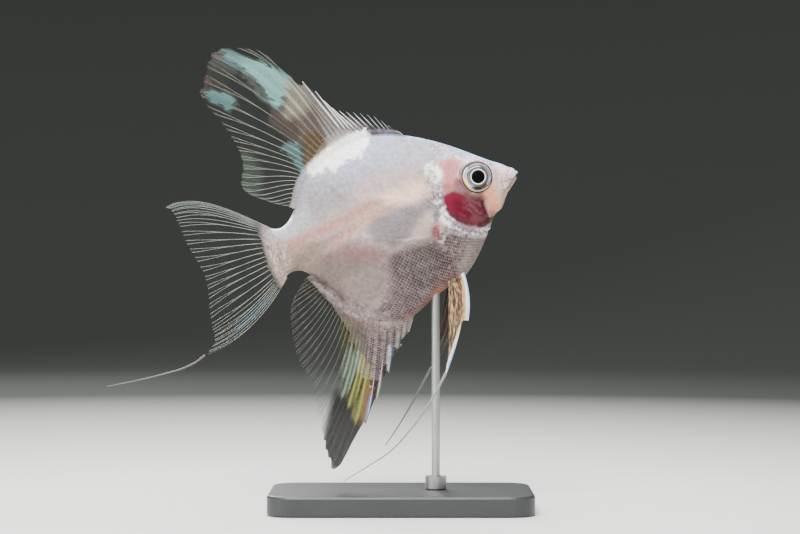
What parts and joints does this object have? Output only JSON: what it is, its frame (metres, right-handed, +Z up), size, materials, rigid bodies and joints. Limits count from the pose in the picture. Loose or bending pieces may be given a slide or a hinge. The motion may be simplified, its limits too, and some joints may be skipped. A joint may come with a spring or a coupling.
{
  "type": "freshwater angelfish model on a display stand",
  "caption": "Pearly white angelfish with tall marbled fins and trailing streamers, nose up, held over a plain flat base by a slim steel rod.",
  "frame": {"origin": "centre of the underside of the whole model's box, on the surface the base stands on", "axes": "+X towards the fish's head, +Y towards the fish's left side, +Z up"},
  "size_m": [0.103, 0.036, 0.1127],
  "materials": {
    "pearly_skin": "satin, pearly, with fine scales",
    "blushing_gill": "satin, translucent red",
    "eye": "polished",
    "fin_web": "satin, thin and partly clear",
    "stand_paint": "matte",
    "stand_steel": "satin"
  },
  "bodies": {
    "root": {"head": "pearly_skin", "lower_jaw": "pearly_skin", "trunk": "pearly_skin", "tail_stalk": "pearly_skin", "gill_cover_left": "blushing_gill", "gill_cover_right": "blushing_gill", "eye_left": "eye", "eye_right": "eye", "dorsal_fin_spiny": "fin_web", "dorsal_fin_soft": "fin_web", "anal_fin_spiny": "fin_web", "anal_fin_soft": "fin_web", "tail_fin": "fin_web", "tail_streamer": "fin_web", "pelvic_fin_left": "fin_web", "pelvic_streamer_left": "fin_web", "pelvic_fin_right": "fin_web", "pelvic_streamer_right": "fin_web", "pectoral_fin_left": "fin_web", "pectoral_fin_right": "fin_web", "stand_base": "stand_paint", "stand_collar": "stand_steel", "stand_rod": "stand_steel"}
  },
  "joints": []
}
